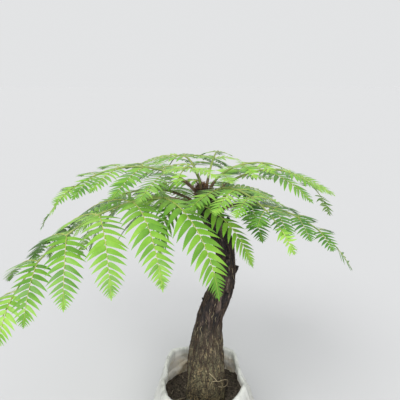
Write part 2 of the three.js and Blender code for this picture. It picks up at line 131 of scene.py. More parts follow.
# Loop of a thin pale root on the trunk's right foot and its branch: azimuth, height and lift
ROOT_LOOP = [
    (278, 374, 1), (286, 365, 5), (293, 353, 8), (299, 336, 8), (306, 333, 9), (313, 332, 12),
    (324, 326, 16), (335, 314, 20), (344, 296, 20), (342, 282, 16), (328, 288, 13), (315, 298, 9),
    (303, 308, 2),
]
ROOT_BRANCH = [(299, 337, 6), (292, 342, 6), (286, 341, 5), (281, 326, 4), (278, 308, 3), (276, 292, 0)]
LOOP = Values(radius=1.6, branch_radius=1.1, rings=60, rounding=5, taper=0.4, sides=7)

# Scales on a frond's foot
STIPE_SCALES = Values(least=90, per_metre=60, to=0.13, gathering=1.1, off=5.5, forward=1.1,
                      lengths=(6, 14), width=0.7)
# Scales round the crown's heart, and rootlets that stand out of the mantle
HEART_SCALES = Values(count=900, heights=(1092, 972), gathering=1.5, rise=(0.3, 1.6),
                      ruffle=0.25, lengths=(7, 17), width=0.8)
ROOTLETS = Values(count=1500, heights=(235, 1000), gathering=1, rise=(-1.4, 0.8),
                  ruffle=0.3, lengths=(3, 10), width=0.5)
HAIR = Values(sag=0.15, middle=0.5, middle_width=0.6)

# Sack: radius and height across the underside, up the outer wall and down the inner wall
SACK_FOOT = [(0, 0.5), (60, 0.3), (140, 0)]
SACK_OUTER = [(170, 12), (188, 52), (200, 108), (204, 160), (199, 212), (191, 252), (187, 284), (185, 303)]
SACK_INNER = [(178, 246), (192, 212), (196, 150)]
# The cloth's rolled hem: a crisp outer edge, a sloping top and a crisp inner edge
SACK_ROLL = [(179, 316), (170, 321), (163, 314), (162, 286)]
# How the roll wavers up and down, and the heights between which that begins
ROLL_WAVER = Values(height=3, radius=90, level=5, size=21, draw=37, heights=(270, 310))
# Metres along the cloth from the middle of the underside, where its inner side begins, stained
# and painted paler than the outside as if lit, and heights in metres between which the foot's stain does
SACK_INSIDE = (0.515, 0.545)
SACK_STAIN = (0.1, 0)
STAIN_COLOUR = (0.3, 0.24, 0.17)
# The cloth's mesh, and how its outline is rounded
SACK_MESH = Values(sides=330, rows=190, fineness=4, rounding=9)
# Radius at which the cloth's weave and creases are worked out
SACK_RADIUS = 190
# Folds of the cloth: azimuths of its corners, how they wander, and how flat it lies
# between them on the body and, from one height to the other, at the hem
SACK_FOLDS = Values(corners=[14, 43, 68, 106, 134, 160, 196, 229, 262, 304, 340], drift=0.09, wave=70,
                    phase=2.1, body=0.35, hem=(190, 270))
# Bulges of the body and of the mouth: count, share of the radius and start angle
SACK_LOBES = [(2, 0.02, 0.6), (3, 0.02, 1.9), (5, 0.014, 0.3), (7, 0.009, 2.4)]
HEM_LOBES = [(4, 0.09, 3.14), (2, 0.04, 3.14), (1, 0.045, -3.94)]
# Heights between which the bulges of the body and of the mouth set in
SLUMP_GROWTH = (0, 120)
HEM_GROWTH = (200, 288)
# Rise and fall of the rim round the mouth
HEM_SWAY = Values(heights=(250, 284), size=7, start=-2.97)
# Creases: upright ones, which fade low down, slump at the foot, small ones and fine ones,
# all bent by broad noise, calmer at the hem and level on the ground
UPRIGHT_CREASES = [("ridged", 3.4, 1, 0.13, 58, 31), ("ridged", 2.2, 1, 0.2, 24, 35)]
SLUMP_CREASES = [("ridged", 4.6, 0.4, 1.5, 60, 32)]
SMALL_CREASES = [("ridged", 1.9, 0.7, 1.2, 30, 33)]
FINE_CREASES = [("ridged", 0.6, 1, 1, 9, 34)]
CREASE_BEND = [("soft", 22, 1, 1, 90, 36)]
CREASES = Values(slump=(210, 100), low_calm=0.45, hem=(250, 300), hem_calm=0.55,
                 ground=(0, 30), sunk=3.6)

# Soil: mean height, slopes and humps
SOIL = Values(level=192, slope_x=0.13, slope_y=-0.07, overlap=3)
# Humps: height, waves per millimetre along x and y, and start
SOIL_HUMPS = [(2.5, 0.043, 0.037, -0.4), (2.5, 0.043, -0.037, 1.2), (2.5, 0.077, -0.077, 0)]
SOIL_LAYERS = [("soft", 4, 1, 1, 24, 41), ("ridged", 3, 1, 1, 10, 42), ("soft", 1.6, 1, 1, 4.5, 43)]
SOIL_MESH = Values(sides=220, rows=90, middle=0.02, skirt=0.9, skirt_height=170)
CRUMBS = Values(count=1500, reach=0.96, inner=0.12, least=1.2, more=3.6, rarity=3, lift=0.3,
                stretch=(0.6, 1.3), lumps=(0.8, 1.15))
# Thin dead stick across the soil at the left: x and y, its radii and its lift
STICK = [(-172, -34), (-150, -24), (-125, -15), (-100, -6), (-78, -2)]
STICK_RADII = [1.9, 2.1, 1.9, 1.6, 1.1]
STICK_LIFT = 9
STICK_SIDES = 7
LITTER = Values(count=46, reach=0.88, inner=0.25, lengths=(9, 26), radii=(0.4, 1.0), lift=2.2,
                rings=6, sides=4)

# Fronds: name, azimuth, bend, lift, droop, length, height in the crown, turn and sag
FROND_ROWS = [
    ("left_front", 219, -16, 52, 136, 1000, 0.1, 36, 1.22),
    ("right_front", 300, 8, 58, 112, 460, 0.9, 0, 0.9),
    ("right", 338, 8, 40, 100, 540, 0.2, 0, 0.9),
    ("right_back", 22, 8, 54, 118, 680, 0.75, 0, 0.8),
    ("back", 66, 8, 28, 92, 800, 0, 0, 1.15),
    ("back_left", 104, 8, 54, 120, 800, 0.8, 0, 0.8),
    ("left_back", 143, 8, 34, 106, 880, 0.15, 0, 1.1),
    ("left", 180, 8, 64, 128, 660, 0.95, 0, 0.75),
    ("young_right", 342, 20, 90, 128, 360, 1, 0, 1),
    ("young_back", 64, 20, 90, 124, 340, 1, 0, 1),
    ("young_front", 240, 20, 98, 128, 335, 1, 0, 0.8),
]
DARK_FRONDS = ("right", "back")
# Height of the lowest stipe's foot, and of the crown's heart above it
CROWN = Values(base=975, height=70)
# Shares of a frond at which its pinnae begin and its end blade begins
STIPE = 0.09
TIP = 0.82
# Pairs of pinnae by a frond's length
PAIRS = Values(least=2.4, per_metre=4.9, most=7)
# Steps of a rachis and of a pinna
STEPS = 48
PINNA_STEPS = 16
# Rachis: radii, share of the trunk's radius at which it begins, and powers of its curve
RACHIS = Values(root=8, tip=2.2, taper=0.8, depth=0.6, bend=0.6, droop=0.7)
# Pinna: length as a share of the frond's, and its angles in degrees
PINNA = Values(share=0.43, shrink=1.02, root=0.72, swell=2.2, least=15,
               spread=78, closing=26, curl=8)
PINNA_ARCH = Values(rise=6, follow=0.5, fall=32, fall_per_mm=0.096, droop=0.75)
# Scatter of the pinnae: draw number and size
PINNA_SCATTER = {"length": (5, 0.05), "spread": (2, 4), "rise": (3, 4)}
# Leaflets: full length, outline along the pinna, and lean towards its tip in degrees
PINNULE = Values(full=27, per_mm=0.15, root=0.8, swell=2, narrowing=3.4, lean=16, leaning=24)
PINNULE_ARCH = Values(rise=0.12, fall=0.0036)
END_BLADE = Values(share=0.62, root=1)
# Room between fronds, and the spacing of the points that stand for blades and rachises
REACH = 16
GRID = 8
RACHIS_GRID = 10
# Share of a rachis in the crown's heart, where it may touch others
CROWN_CORE = 0.1
# Pairs by which the first frond's pinnae come before the others'
LEAD = 1.5
# Changes tried until a pinna meets no other frond: factor of its sag, turn, share of its length
TRIES = [
    (1, 0, 1), (0.8, 0, 1), (1.25, 0, 1), (0.6, 0, 1), (1.5, 0, 1), (1, 14, 1),
    (1, -14, 1), (0.4, 0, 1), (1.8, 0, 1), (1.3, 14, 0.85), (1.3, -14, 0.85), (0.7, 0, 0.75),
    (1.5, 0, 0.75), (1, 20, 0.7), (1, -20, 0.7), (1, 0, 0.6), (0.5, 0, 0.6), (1.6, 0, 0.6),
    (1, 0, 0.45), (0.4, 12, 0.45), (0.4, -12, 0.45),
]
# Seed of the growth, as in the source
SEED = 828
# Draw numbers of the stubs, and how many draws a frond and a blade have
DRAWS = Values(stub_turn=91, stub_size=92, stub_bark=11, frond=31, blade=211)

# Finer leaves: pitch along the costa and half the breadth as shares of a leaflet's
# length, teeth, folds and turns, and how much of the costa bears them
LEAF = Values(pitch=0.33, least_pitch=4.8, breadth=0.152, tooth=4.2, teeth=(4, 14), notch=0.84,
              stalk=14, end_stalk=4, to=0.96, within=(0.01, 0.97), stagger=0.18, size=0.97,
              droop=0.3, fold=0.16, sweep=0.06, sinking=0.05, pitching=0.1, end_pitching=0.4,
              own_tint=0.4)
LEAF_OUTLINE = Values(root=0.7, swell=2.2, narrowing=2.3, point=1.05)
# Scatter of the leaflets: draw number and size
LEAF_SCATTER = {
    "place": (51, 1.2), "size": (52, 0.04), "yaw": (53, 0.08), "pitching": (54, 1),
    "breadth": (55, 0.1), "roll": (56, 0.24), "tint": (57, 1),
}
# Where a tooth's point lies between its notches, its breadth there, and how it hangs
TOOTH = Values(along=0.75, breadth=0.6, droop=1.1)
# Web that joins the last leaflets of a blade into its tip
TIP_WEB = Values(start=0.8, lobes=9, notch=0.6, first=0.12, rise=0.5, droop=0.25, fold=0.05)
# Ribs of the pinnae
COSTA = Values(to=0.96, rings=13, radius=0.9, per_mm=0.0022, taper=0.75, sides=5)
# A frond's stem, brown at its foot and green above: shares, rings and factor of its radius
STEM = Values(radius=0.62, sides=10)
STIPE_TUBE = (0, 0.17, 12, 1.12)
RACHIS_TUBE = (0.16, TIP + 0.02, 40, 1.0)
# Tints: the share of a frond beyond which leaves are pale, and the draw that deals the rest
TINTS = Values(pale_from=0.7, draw=61, mid_below=-0.1)
DARK_TINTS = ("deep", "shaded")

# Colours of the leaves: in shade, in the main and in light
LEAF_COLOURS = {
    "fresh": [(0.1, 0.27, 0.018), (0.175, 0.38, 0.03), (0.29, 0.5, 0.075)],
    "mid": [(0.062, 0.19, 0.015), (0.12, 0.29, 0.025), (0.2, 0.4, 0.05)],
    "pale": [(0.155, 0.34, 0.028), (0.25, 0.47, 0.055), (0.37, 0.6, 0.12)],
    "deep": [(0.035, 0.13, 0.012), (0.065, 0.19, 0.02), (0.115, 0.28, 0.04)],
    "shaded": [(0.055, 0.17, 0.016), (0.1, 0.25, 0.025), (0.155, 0.34, 0.05)],
}
# Stalks and fibres: dark and light colour, and roughness
STALK_COLOURS = {
    "rachis": [(0.12, 0.2, 0.035), (0.26, 0.33, 0.08), 0.5],
    "costa": [(0.27, 0.35, 0.06), (0.46, 0.48, 0.14), 0.5],
    "stipe": [(0.06, 0.04, 0.02), (0.16, 0.11, 0.05), 0.7],
    "scale": [(0.07, 0.035, 0.015), (0.2, 0.1, 0.04), 0.75],
    "root": [(0.022, 0.014, 0.01), (0.075, 0.048, 0.03), 0.85],
    "fibre": [(0.2, 0.16, 0.095), (0.4, 0.34, 0.215), 0.8],
    "litter": [(0.26, 0.2, 0.13), (0.5, 0.43, 0.33), 0.8],
}
# Soil and its crumbs: dark and light colour, and their palest grains
SOIL_COLOURS = {
    "soil": [(0.03, 0.025, 0.019), (0.14, 0.115, 0.088)],
    "crumbs": [(0.038, 0.031, 0.024), (0.17, 0.14, 0.108)],
}
PALE_GRAIN = (0.13, 0.095, 0.065)

# Camera: lens and sensor in millimetres, place in metres and pitch below level
CAMERA = Values(lens=36, sensor=36, place=(-0.016, -1.30, 1.45), pitch=17.8)
# Stage: half the floor's side in metres, the lamps' strength, breadth, tilt from overhead
# and turn to the right in degrees, and the sky
FLOOR = Values(reach=40, colour=(0.504, 0.511, 0.522), roughness=0.9)
LAMPS = {
    "key_lamp": Values(strength=1.6, breadth=35, tilt=38, turn=-40),
    "fill_lamp": Values(strength=1.8, breadth=45, tilt=56, turn=12),
}
LAMP_COLOUR = (1, 0.98, 0.95)
SKY = Values(strength=0.78, colour=(0.98, 0.99, 1))


# Numbers

def wobble(a, b, size):
    v = math.sin((a + SEED) * HASH[0] + b * HASH[1]) * HASH_SIZE
    return (2 * (v - math.floor(v)) - 1) * size


def scattered(rows, seed, side=0):
    """Named random shifts, from rows of draw number and size."""
    return Values(**{key: wobble(seed, side + number, size) for key, (number, size) in rows.items()})


def rows_at(rows, z):
    """Smooth curve through rows of height and values, read at a height."""
    last = len(rows) - 1
    i = 0
    while i < last - 1 and z > rows[i + 1][0]:
        i += 1
    span = rows[i + 1][0] - rows[i][0]
    u = min(max((z - rows[i][0]) / span, 0), 1)

    def slope(k, c):
        a = rows[max(k - 1, 0)]
        b = rows[min(k + 1, last)]
        return (b[c] - a[c]) / (b[0] - a[0])

    return [
        (2 * u ** 3 - 3 * u ** 2 + 1) * rows[i][c]
        + (u ** 3 - 2 * u ** 2 + u) * span * slope(i, c)
        + (3 * u ** 2 - 2 * u ** 3) * rows[i + 1][c]
        + (u ** 3 - u ** 2) * span * slope(i + 1, c)
        for c in range(1, len(rows[0]))
    ]


def ramped(value, start, end):
    """How far a value has gone from start to end, from 0 to 1."""
    return np.clip((value - start) / (end - start), 0, 1)


def waves(rows, z, turn):
    return sum(size * np.sin(z / length + phase * turn) for size, length, phase in rows)


def heading(azimuth, elevation):
    azimuth = np.asarray(azimuth, float) * RAD
    elevation = np.asarray(elevation, float) * RAD
    level = np.cos(elevation)
    return np.stack([np.cos(azimuth) * level, np.sin(azimuth) * level, np.sin(elevation)], -1)


def left_of(azimuth):
    azimuth = np.asarray(azimuth, float) * RAD
    return np.stack([-np.sin(azimuth), np.cos(azimuth), np.zeros_like(azimuth)], -1)


def ring_points(angle, radius, z):
    return np.stack([radius * np.cos(angle), radius * np.sin(angle), z], 1)


def round_angles(count):
    return 2 * np.pi * np.arange(count) / count


def unit(v):
    return v / np.maximum(np.linalg.norm(v, axis=-1, keepdims=True), 1e-9)


def lattice(cells, seed):
    value = np.sin(cells @ HASH + seed * HASH_TURN) * HASH_SIZE
    return value - np.floor(value)


def noise(places, size, seed):
    """Smooth noise from -1 to 1 whose features are about that size."""
    scaled = places / size
    cell = np.floor(scaled)
    part = scaled - cell
    part = part * part * (3 - 2 * part)
    total = np.zeros(len(places))
    for corner in product((0, 1), repeat=3):
        weight = np.prod(np.where(np.array(corner) == 1, part, 1 - part), axis=1)
        total += weight * lattice(cell + corner, seed)
    return 2 * total - 1


def relief(places, layers):
    """Sum of layers of noise. A ridged layer has sharp crests."""
    total = np.zeros(len(places))
    for kind, height, across, upwards, size, seed in layers:
        value = noise(places * (across, across, upwards), size, seed)
        total += height * (1 - 2 * np.abs(value) if kind == "ridged" else value)
    return total


# Meshes

def add_object(name, data):
    made = bpy.data.objects.new(name, data)
    bpy.context.scene.collection.objects.link(made)
    return made


def add_piece(name, vertices, faces, material, nodes=(), uvs=None):
    """A piece from vertices in millimetres and faces as arrays of three or four corners."""
    mesh = bpy.data.meshes.new(name)
    corners = np.concatenate([part.ravel() for part in faces]).astype(np.int32)
    sizes = np.concatenate([np.full(len(part), part.shape[1]) for part in faces])
    starts = np.concatenate([[0], np.cumsum(sizes)[:-1]]).astype(np.int32)
    mesh.vertices.add(len(vertices))
    mesh.vertices.foreach_set("co", (vertices * MM).astype(np.float32).ravel())
    mesh.loops.add(len(corners))
    mesh.loops.foreach_set("vertex_index", corners)
    mesh.polygons.add(len(sizes))
    mesh.polygons.foreach_set("loop_start", starts)
    if uvs is not None:
        mesh.uv_layers.new(name="UVMap").data.foreach_set("uv", uvs[corners].astype(np.float32).ravel())
    mesh.update(calc_edges=True)
    mesh.validate()
    mesh.shade_smooth()
    mesh.materials.append(materials[material])
    piece = add_object(name, mesh)
    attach(piece, "root")
    if nodes:
        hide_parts(*nodes)


def add_joined(name, shapes, material, nodes=()):
    """One piece of many small shapes, each with its vertices and faces."""
    starts = np.cumsum([0] + [len(vertices) for vertices, _ in shapes])
    faces = [part + start for (_, part), start in zip(shapes, starts)]
    add_piece(name, np.concatenate([vertices for vertices, _ in shapes]), faces, material, nodes)


def grid_faces(rows, columns):
    """Fourfold faces of a grid whose columns go round."""
    r, c = np.meshgrid(np.arange(rows - 1), np.arange(columns), indexing="ij")
    a = (r * columns + c).ravel()
    b = (r * columns + (c + 1) % columns).ravel()
    return np.stack([a, b, b + columns, a + columns], 1)


def tube(places, radii, sides):
    """A round tube along places, as vertices and fourfold faces, its ends drawn to a point."""
    places = np.asarray(places, float)
    radii = np.broadcast_to(radii, len(places)).astype(float)
    places = np.concatenate([places[:1], places, places[-1:]])
    radii = np.concatenate([[TUBE_POINT], radii, [TUBE_POINT]])
    tangents = unit(np.gradient(places[1:-1], axis=0))
    tangents = np.concatenate([tangents[:1], tangents, tangents[-1:]])
    side = unit(np.cross(tangents[0], UP if abs(tangents[0][2]) < 0.9 else np.array([1.0, 0, 0])))
    angles = round_angles(sides)
    rings = []
    for place, radius, tangent in zip(places, radii, tangents):
        side = unit(side - tangent * (side @ tangent))
        other = np.cross(tangent, side)
        rings.append(place + radius * (np.outer(np.cos(angles), side) + np.outer(np.sin(angles), other)))
    return np.concatenate(rings), grid_faces(len(rings), sides)


# Materials

def feed(tree, sockets, key, value):
    """Links a node's output to the socket that a key names, or sets it to a number or colour."""
    socket = sockets[key.replace("_", " ")]
    if isinstance(value, bpy.types.NodeSocket):
        tree.links.new(value, socket)
    else:
        socket.default_value = value


def new_material(name, **values):
    """A material with its shader's inputs, its node tree and its shader."""
    material = bpy.data.materials.new(name)
    material.use_nodes = True
    shader = material.node_tree.nodes["Principled BSDF"]
    for key, value in values.items():
        feed(material.node_tree, shader.inputs, key, value)
    return material, material.node_tree, shader


def node(tree, kind, **values):
    """A node with its inputs, which have capital letters, and its settings."""
    made = tree.nodes.new(kind)
    for key, value in values.items():
        if key[0].isupper():
            feed(tree, made.inputs, key, value)
        else:
            setattr(made, key, value)
    return made


def noise_texture(tree, place, scale, detail, stretch=(1, 1, 1)):
    mapped = node(tree, "ShaderNodeMapping", Vector=place, Scale=stretch).outputs[0]
    return node(tree, "ShaderNodeTexNoise", Vector=mapped, Scale=scale, Detail=detail).outputs["Fac"]


def ramp(tree, source, stops):
    """A colour ramp over a value, from rows of position and colour."""
    made = node(tree, "ShaderNodeValToRGB", Fac=source)
    elements = made.color_ramp.elements
    while len(elements) < len(stops):
        elements.new(0.5)
    for element, (position, colour) in zip(elements, stops):
        element.position = position
        element.color = (*colour, 1)
    return made.outputs[0]


def bump(tree, shader, source, strength, distance, **before):
    made = node(tree, "ShaderNodeBump", Height=source, Strength=strength, Distance=distance, **before)
    tree.links.new(made.outputs[0], shader.inputs["Normal"])
    return made.outputs[0]


def mix(tree, factor, first, second, kind="MIX"):
    made = node(tree, "ShaderNodeMix", data_type="RGBA", blend_type=kind, Factor=factor, A=first, B=second)
    return made.outputs["Result"]


def multiplied(tree, first, second):
    return mix(tree, 1.0, first, second, "MULTIPLY")


def arithmetic(tree, operation, first, second):
    made = node(tree, "ShaderNodeMath", operation=operation)
    tree.links.new(first, made.inputs[0])
    tree.links.new(second, made.inputs[1])
    return made.outputs[0]


def share_between(tree, value, start, end):
    return node(tree, "ShaderNodeMapRange", Value=value, From_Min=start, From_Max=end).outputs[0]


def part_of(tree, vector, axis):
    return node(tree, "ShaderNodeSeparateXYZ", Vector=vector).outputs[axis]


def coordinates(tree, kind):
    return node(tree, "ShaderNodeTexCoord").outputs[kind]


def paint(tree, shader, colour):
    tree.links.new(colour, shader.inputs["Base Color"])


def leaf_material(name, shade, main, light):
    """Soft living leaf: a base green that shifts a little along and between leaflets."""
    material, tree, shader = new_material(
        name, Roughness=0.36, Specular_IOR_Level=0.35, Sheen_Weight=0.12, Sheen_Roughness=0.4)
    place = coordinates(tree, "Object")
    broad = noise_texture(tree, place, scale=9, detail=2)
    colours = ramp(tree, broad, [(0.3, shade), (0.5, main), (0.72, light)])
    fine = noise_texture(tree, place, scale=160, detail=3)
    speckle = ramp(tree, fine, [(0.35, (0.86, 0.9, 0.84)), (0.7, WHITE)])
    paint(tree, shader, multiplied(tree, colours, speckle))
    bump(tree, shader, fine, strength=0.25, distance=0.0006)
    return material


def stalk_material(name, dark, light, roughness):
    material, tree, shader = new_material(name, Roughness=roughness)
    place = coordinates(tree, "Object")
    streaks = noise_texture(tree, place, scale=60, detail=4)
    paint(tree, shader, ramp(tree, streaks, [(0.32, dark), (0.68, light)]))
    grain = noise_texture(tree, place, scale=380, detail=3)
    bump(tree, shader, grain, strength=0.4, distance=0.0008)
    return material


def bark_material():
    """Fibrous root mantle: nearly black above, which is painted shade under the crown, browner with moss
    flecks below.
    """
    material, tree, shader = new_material("bark", Roughness=0.9)
    place = coordinates(tree, "Object")
    fibres = noise_texture(tree, place, scale=78, detail=7, stretch=(1, 1, 0.32))
    browns = ramp(tree, fibres, [
        (0.3, (0.014, 0.01, 0.007)),
        (0.47, (0.047, 0.037, 0.022)),
        (0.6, (0.105, 0.085, 0.05)),
        (0.72, (0.22, 0.185, 0.115)),
    ])
    grains = noise_texture(tree, place, scale=210, detail=3, stretch=(1, 1, 0.7))
    speckle = ramp(tree, grains, [
        (0.38, (0.2, 0.19, 0.21)),
        (0.5, (0.9, 0.9, 0.88)),
        (0.59, (2.2, 2.1, 1.8)),
    ])
    # Nearly black fibres for the top of the mantle: painted shade under the crown
    bundles = noise_texture(tree, place, scale=75, detail=7, stretch=(1, 1, 0.26))
    dark = ramp(tree, bundles, [
        (0.4, (0.003, 0.002, 0.003)),
        (0.5, (0.013, 0.009, 0.009)),
        (0.58, (0.04, 0.027, 0.023)),
        (0.66, (0.13, 0.095, 0.075)),
    ])
    # Brown below and nearly black above, where the black is painted shade under the crown; moss grows only
    # on the brown part
    below_painted_shade = share_between(tree, part_of(tree, place, "Z"), *BARK_SHADE_HEIGHTS)
    with_painted_shade = mix(tree, below_painted_shade, dark, multiplied(tree, browns, speckle))
    patches = noise_texture(tree, place, scale=26, detail=5, stretch=(1, 1, 0.7))
    flecks = noise_texture(tree, place, scale=240, detail=2)
    moss = share_between(tree, arithmetic(tree, "ADD", patches, flecks), *MOSS_AMONG)
    paint(tree, shader, mix(tree, arithmetic(tree, "MULTIPLY", moss, below_painted_shade), with_painted_shade, (*MOSS_COLOUR, 1)))
    ridged = bump(tree, shader, fibres, strength=0.8, distance=0.004)
    bump(tree, shader, flecks, strength=0.5, distance=0.0015, Normal=ridged)
    return material


def sack_material():
    """White woven plastic: flat tapes over and under, with dust and stains, painted shade in its creases,
    and an inside painted paler as if lit.
    """
    material, tree, shader = new_material("woven_sack", Roughness=0.52, Sheen_Weight=0.1)
    place = coordinates(tree, "Object")
    uv = coordinates(tree, "UV")
    tapes = [
        node(tree, "ShaderNodeTexWave", Vector=uv, Scale=120, bands_direction=direction).outputs["Fac"]
        for direction in ("X", "Y")
    ]
    checks = node(tree, "ShaderNodeTexChecker", Vector=uv, Scale=760)
    weave = mix(tree, checks.outputs["Fac"], *tapes)
    dust = noise_texture(tree, place, scale=7, detail=6)
    cloth = ramp(tree, dust, [
        (0.25, (0.41, 0.41, 0.37)),
        (0.45, (0.57, 0.58, 0.55)),
        (0.65, (0.67, 0.685, 0.66)),
    ])
    foot = share_between(tree, part_of(tree, place, "Z"), *SACK_STAIN)
    splash = noise_texture(tree, place, scale=22, detail=5)
    cloth_colour = mix(tree, arithmetic(tree, "MULTIPLY", foot, splash), cloth, (*STAIN_COLOUR, 1))
    mould = noise_texture(tree, place, scale=26, detail=6, stretch=(1, 1, 0.6))
    # Inner side: real stains from the noise, on cloth painted paler than the outside as painted light
    inner = ramp(tree, mould, [
        (0.34, (0.62, 0.51, 0.35)),
        (0.45, (0.88, 0.82, 0.67)),
        (0.58, (0.92, 0.9, 0.83)),
    ])
    within = share_between(tree, part_of(tree, uv, "Y"), *SACK_INSIDE)
    cloth_colour = mix(tree, within, cloth_colour, inner)
    creases = noise_texture(tree, place, scale=34, detail=8, stretch=(1, 1, 0.22))
    # Darker along the creases: painted shade
    crease_shaded_cloth = multiplied(tree, cloth_colour, ramp(tree, creases, [(0.36, (0.7, 0.7, 0.69)), (0.47, WHITE)]))
    threads = ramp(tree, weave, [(0.0, (0.88, 0.88, 0.87)), (0.6, WHITE)])
    paint(tree, shader, multiplied(tree, crease_shaded_cloth, threads))
    creased = bump(tree, shader, creases, strength=0.55, distance=0.006)
    bump(tree, shader, weave, strength=0.35, distance=0.0005, Normal=creased)
    return material


def soil_material(name, dark, light):
    material, tree, shader = new_material(name, Roughness=0.95)
    grains = noise_texture(tree, coordinates(tree, "Object"), scale=120, detail=8)
    paint(tree, shader, ramp(tree, grains, [(0.35, dark), (0.62, light), (0.8, PALE_GRAIN)]))
    bump(tree, shader, grains, strength=0.9, distance=0.004)
    return material


def make_materials():
    made = {tint: leaf_material(f"leaf_{tint}", *colours) for tint, colours in LEAF_COLOURS.items()}
    made |= {name: stalk_material(name, *values) for name, values in STALK_COLOURS.items()}
    made |= {name: soil_material(name, *colours) for name, colours in SOIL_COLOURS.items()}
    return made | {"bark": bark_material(), "sack": sack_material()}


# Growth of the fronds

def along(path, shares):
    """Places, azimuths and elevations at shares of a path."""
    shares = np.clip(np.atleast_1d(np.asarray(shares, float)), 0, 1)
    columns = [np.interp(shares, path[:, 0], path[:, c]) for c in range(1, 6)]
    return np.stack(columns[:3], 1), columns[3], columns[4]


def walk(place, azimuths, elevations, step):
    """Path rows of share, place, azimuth and elevation, from a start in equal steps."""
    moves = heading(azimuths, elevations) * step
    places = place + np.concatenate([np.zeros((1, 3)), np.cumsum(moves[:-1], axis=0)])
    shares = np.arange(len(azimuths)) / (len(azimuths) - 1)
    return np.column_stack([shares, places, azimuths, elevations])


def rachis_path(frond):
    z = CROWN.base + CROWN.height * frond.rank
    x, y, radius = rows_at(TRUNK_ROWS, z)
    place = np.array([x, y, z]) + RACHIS.depth * radius * heading(frond.azimuth, 0)
    share = np.arange(STEPS + 1) / STEPS
    azimuths = frond.azimuth + frond.bend * share ** RACHIS.bend
    elevations = frond.lift - frond.droop * share ** RACHIS.droop
    return walk(place, azimuths, elevations, frond.length / STEPS)


def pair_count(length):
    return min(PAIRS.most, math.floor(PAIRS.least + PAIRS.per_metre * length / 1000 + 0.5))


def pinna_length(frond, share):
    out = (share - STIPE) / (1 - STIPE)
    size = min(1, PINNA.root + PINNA.swell * out) * (1 - out) ** PINNA.shrink
    return PINNA.share * frond.length * size + PINNA.least


def pinna(frond, index, pair, side, change):
    sag, turn, cut = change
    share = STIPE + (TIP - STIPE) * pair / pair_count(frond.length)
    place, azimuth, elevation = (value[0] for value in along(frond.path, share))
    out = (share - STIPE) / (1 - STIPE)
    seed = index * DRAWS.frond + pair
    shift = scattered(PINNA_SCATTER, seed, side)
    length = pinna_length(frond, share) * (1 + shift.length) * cut
    spread = PINNA.spread - PINNA.closing * out
    start = azimuth + side * (spread + shift.spread) + frond.turn * (1 - out) ** 3 + turn
    rise = PINNA_ARCH.rise + PINNA_ARCH.follow * elevation * math.cos(spread * RAD) + shift.rise
    fall = sag * frond.sag * (PINNA_ARCH.fall + PINNA_ARCH.fall_per_mm * length)
    s = np.arange(PINNA_STEPS + 1) / PINNA_STEPS
    azimuths = start - side * PINNA.curl * s
    elevations = rise - fall * s ** PINNA_ARCH.droop
    return Values(
        path=walk(place, azimuths, elevations, length / PINNA_STEPS),
        length=length,
        full=PINNULE.full + PINNULE.per_mm * length,
        root=PINNULE.root,
        share=share,
        end=False,
    )


def end_blade(frond):
    s = np.arange(PINNA_STEPS + 1) / PINNA_STEPS
    place, azimuth, elevation = along(frond.path, TIP + (1 - TIP) * s)
    return Values(
        path=np.column_stack([s, place, azimuth, elevation]),
        length=(1 - TIP) * frond.length,
        full=END_BLADE.share * pinna_length(frond, TIP),
        root=END_BLADE.root,
        share=TIP,
        end=True,
    )


def pinnule_length(blade, s):
    s = np.asarray(s, float)
    swelling = np.minimum(1, blade.root + PINNULE.swell * s)
    return blade.full * swelling * (1 - s ** PINNULE.narrowing)


def pinnule_points(blade, s, side, out):
    """Points some millimetres out from the costa, on its left where side is 1."""
    place, azimuth, elevation = along(blade.path, s)
    lean = (PINNULE.lean + PINNULE.leaning * np.asarray(s, float)) * RAD
    across = np.asarray(side * out * np.cos(lean))[..., None] * left_of(azimuth)
    forward = np.asarray(out * np.sin(lean))[..., None] * heading(azimuth, elevation)
    arch = PINNULE_ARCH.rise * out - PINNULE_ARCH.fall * out ** 2
    return place + across + forward + np.asarray(arch)[..., None] * UP


def grid_points(blade):
    rows = max(2, math.ceil(blade.length / GRID))
    places = []
    for k in range(rows + 1):
        s = k / rows
        width = float(pinnule_length(blade, s))
        columns = max(1, math.ceil(width / GRID))
        places += [(s, side, width * j / columns) for side in (-1, 1) for j in range(columns + 1)]
    s, side, out = np.array(places).T
    return pinnule_points(blade, s, side, out)


class Taken:
    """What is taken up so far, kept blade by blade with the frond it belongs to."""

    def __init__(self):
        self.rows = []

    def add(self, points, owner):
        self.rows.append((owner, points.min(0), points.max(0), points))

    def meets(self, points, owner):
        low, high = points.min(0) - REACH, points.max(0) + REACH
        for other, box_low, box_high, places in self.rows:
            if other == owner or (box_low > high).any() or (box_high < low).any():
                continue
            near = places[((places > low) & (places < high)).all(1)]
            if len(near) == 0:
                continue
            apart = ((points[:, None, :] - near[None, :, :]) ** 2).sum(2)
            if apart.min() < REACH * REACH:
                return True
        return False


def grow_crown():
    keys = ("name", "azimuth", "bend", "lift", "droop", "length", "rank", "turn", "sag")
    fronds = [Values(**dict(zip(keys, row))) for row in FROND_ROWS]
    taken = Taken()
    for index, frond in enumerate(fronds):
        frond.path = rachis_path(frond)
        frond.blades = [end_blade(frond)]
        count = int(frond.length // RACHIS_GRID)
        shares = np.arange(count + 1) / count
        taken.add(along(frond.path, shares[shares >= CROWN_CORE])[0], index)
        taken.add(grid_points(frond.blades[0]), index)
    turns = sorted(
        (pair + (LEAD if index else 0), index, pair, side)
        for index, frond in enumerate(fronds)
        for pair in range(pair_count(frond.length))
        for side in (-1, 1)
    )
    for _, index, pair, side in turns:
        for change in TRIES:
            blade = pinna(fronds[index], index, pair, side, change)
            points = grid_points(blade)
            if not taken.meets(points, index):
                taken.add(points, index)
                fronds[index].blades.append(blade)
                break
    return fronds


# Leaves

